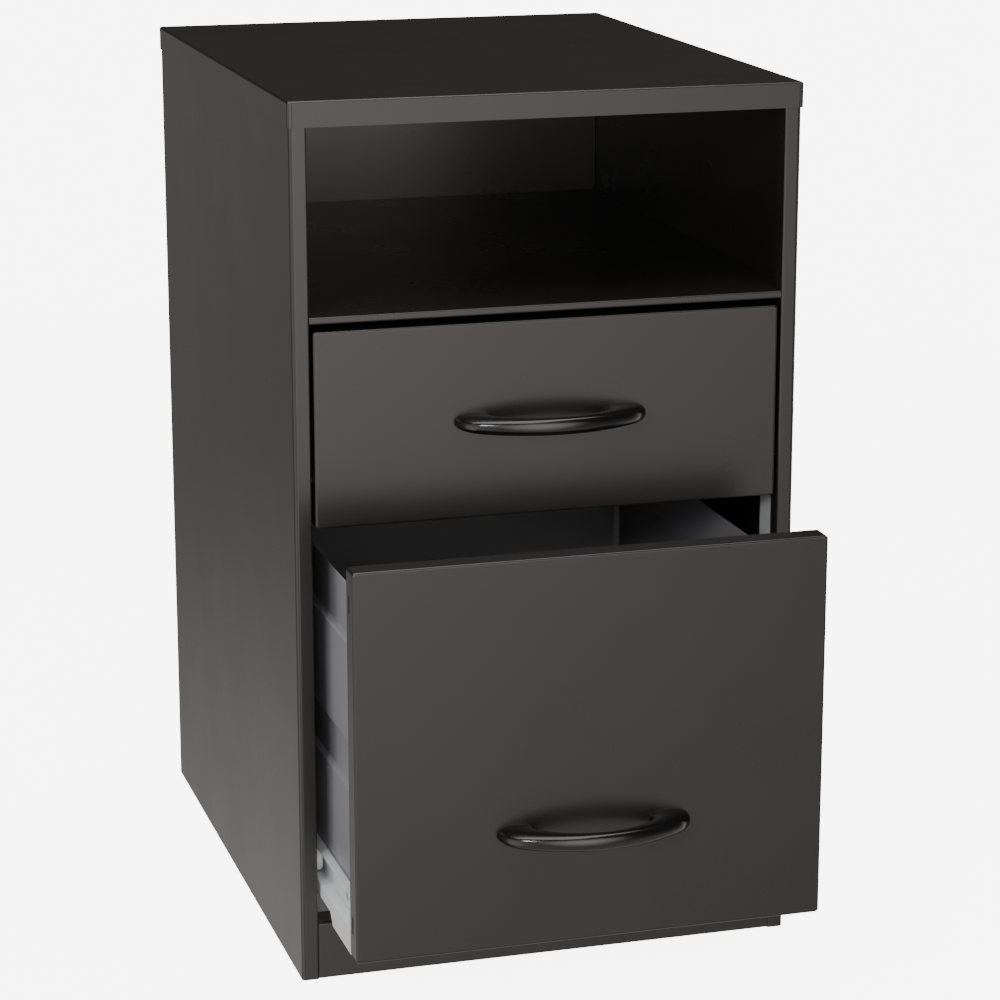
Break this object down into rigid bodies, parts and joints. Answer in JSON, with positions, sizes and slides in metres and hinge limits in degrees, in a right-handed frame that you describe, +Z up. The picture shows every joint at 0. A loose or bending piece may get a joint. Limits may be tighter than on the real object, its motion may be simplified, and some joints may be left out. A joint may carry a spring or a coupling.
{
  "type": "metal filing cabinet",
  "caption": "Charcoal sheet-steel filing cabinet: open shelf on top, a shallow drawer and a deep file drawer on roller slides, each with a bow pull, the file drawer part open.",
  "frame": {"origin": "on the floor, at the middle of the cabinet body's footprint", "axes": "+Z up, front and drawer pulls towards -Y, +X to the right seen from the front"},
  "size_m": [0.364, 0.5965, 0.622],
  "materials": {
    "powder_coat": "satin charcoal powder coat with a fine orange-peel",
    "drawer_coat": "thin satin grey-black coat on the drawer's inner sheets",
    "zinc_plate": "bright zinc-plated strip steel",
    "fastener_steel": "plated steel rivets and screws",
    "handle_gloss": "smooth glossy black moulded plastic",
    "nylon": "white moulded nylon"
  },
  "bodies": {
    "cabinet": {"top_cap": "powder_coat", "left_side_panel": "powder_coat", "right_side_panel": "powder_coat", "back_panel": "powder_coat", "shelf": "powder_coat", "header_rail": "powder_coat", "base_rail": "powder_coat", "rear_base_channel": "powder_coat", "floor_brace": "powder_coat", "left_front_post": "zinc_plate", "left_rear_post": "zinc_plate", "right_front_post": "zinc_plate", "right_rear_post": "zinc_plate", "lower_left_cabinet_slide": "zinc_plate", "lower_right_cabinet_slide": "zinc_plate", "upper_left_cabinet_slide": "zinc_plate", "upper_right_cabinet_slide": "zinc_plate", "front_roller_axles": "fastener_steel", "back_rivets": "powder_coat"},
    "lower_drawer": {"lower_front_pan": "powder_coat", "lower_front_liner": "drawer_coat", "lower_left_side": "drawer_coat", "lower_right_side": "drawer_coat", "lower_bottom": "drawer_coat", "lower_back": "drawer_coat", "lower_handle": "handle_gloss", "lower_handle_screws": "fastener_steel", "lower_left_drawer_slide": "zinc_plate", "lower_right_drawer_slide": "zinc_plate", "lower_slide_rivets": "fastener_steel", "lower_rear_roller_axles": "fastener_steel"},
    "upper_drawer": {"upper_front_pan": "powder_coat", "upper_front_liner": "drawer_coat", "upper_left_side": "drawer_coat", "upper_right_side": "drawer_coat", "upper_bottom": "drawer_coat", "upper_back": "drawer_coat", "upper_handle": "handle_gloss", "upper_handle_screws": "fastener_steel", "upper_left_drawer_slide": "zinc_plate", "upper_right_drawer_slide": "zinc_plate", "upper_slide_rivets": "fastener_steel", "upper_rear_roller_axles": "fastener_steel"},
    "lower_left_front_roller": {"lower_left_front_roller": "nylon"},
    "lower_left_rear_roller": {"lower_left_rear_roller": "nylon"},
    "lower_right_front_roller": {"lower_right_front_roller": "nylon"},
    "lower_right_rear_roller": {"lower_right_rear_roller": "nylon"},
    "upper_left_front_roller": {"upper_left_front_roller": "nylon"},
    "upper_left_rear_roller": {"upper_left_rear_roller": "nylon"},
    "upper_right_front_roller": {"upper_right_front_roller": "nylon"},
    "upper_right_rear_roller": {"upper_right_rear_roller": "nylon"}
  },
  "joints": [
    {"name": "lower_drawer_slide", "type": "slide", "parent": "cabinet", "child": "lower_drawer", "axis": [0, -1, 0], "range_m": [-0.1035, 0.1965]},
    {"name": "upper_drawer_slide", "type": "slide", "parent": "cabinet", "child": "upper_drawer", "axis": [0, -1, 0], "range_m": [0, 0.3]},
    {"name": "lower_left_front_roller_spin", "type": "hinge", "parent": "cabinet", "child": "lower_left_front_roller", "pos_m": [-0.16325, -0.198, 0.0805], "axis": [1, 0, 0], "continuous": true},
    {"name": "lower_left_rear_roller_spin", "type": "hinge", "parent": "lower_drawer", "child": "lower_left_rear_roller", "pos_m": [-0.1636, 0.0715, 0.0805], "axis": [1, 0, 0], "continuous": true},
    {"name": "lower_right_front_roller_spin", "type": "hinge", "parent": "cabinet", "child": "lower_right_front_roller", "pos_m": [0.16325, -0.198, 0.0805], "axis": [1, 0, 0], "continuous": true},
    {"name": "lower_right_rear_roller_spin", "type": "hinge", "parent": "lower_drawer", "child": "lower_right_rear_roller", "pos_m": [0.1636, 0.0715, 0.0805], "axis": [1, 0, 0], "continuous": true},
    {"name": "upper_left_front_roller_spin", "type": "hinge", "parent": "cabinet", "child": "upper_left_front_roller", "pos_m": [-0.16325, -0.198, 0.3569], "axis": [1, 0, 0], "continuous": true},
    {"name": "upper_left_rear_roller_spin", "type": "hinge", "parent": "upper_drawer", "child": "upper_left_rear_roller", "pos_m": [-0.1636, 0.175, 0.3569], "axis": [1, 0, 0], "continuous": true},
    {"name": "upper_right_front_roller_spin", "type": "hinge", "parent": "cabinet", "child": "upper_right_front_roller", "pos_m": [0.16325, -0.198, 0.3569], "axis": [1, 0, 0], "continuous": true},
    {"name": "upper_right_rear_roller_spin", "type": "hinge", "parent": "upper_drawer", "child": "upper_right_rear_roller", "pos_m": [0.1636, 0.175, 0.3569], "axis": [1, 0, 0], "continuous": true}
  ],
  "couplings": [
    {"joint": "lower_left_front_roller_spin", "follows": "lower_drawer_slide", "rad_per_m": 104.17},
    {"joint": "lower_left_rear_roller_spin", "follows": "lower_drawer_slide", "rad_per_m": 140.85},
    {"joint": "lower_right_front_roller_spin", "follows": "lower_drawer_slide", "rad_per_m": 104.17},
    {"joint": "lower_right_rear_roller_spin", "follows": "lower_drawer_slide", "rad_per_m": 140.85},
    {"joint": "upper_left_front_roller_spin", "follows": "upper_drawer_slide", "rad_per_m": 104.17},
    {"joint": "upper_left_rear_roller_spin", "follows": "upper_drawer_slide", "rad_per_m": 140.85},
    {"joint": "upper_right_front_roller_spin", "follows": "upper_drawer_slide", "rad_per_m": 104.17},
    {"joint": "upper_right_rear_roller_spin", "follows": "upper_drawer_slide", "rad_per_m": 140.85}
  ]
}
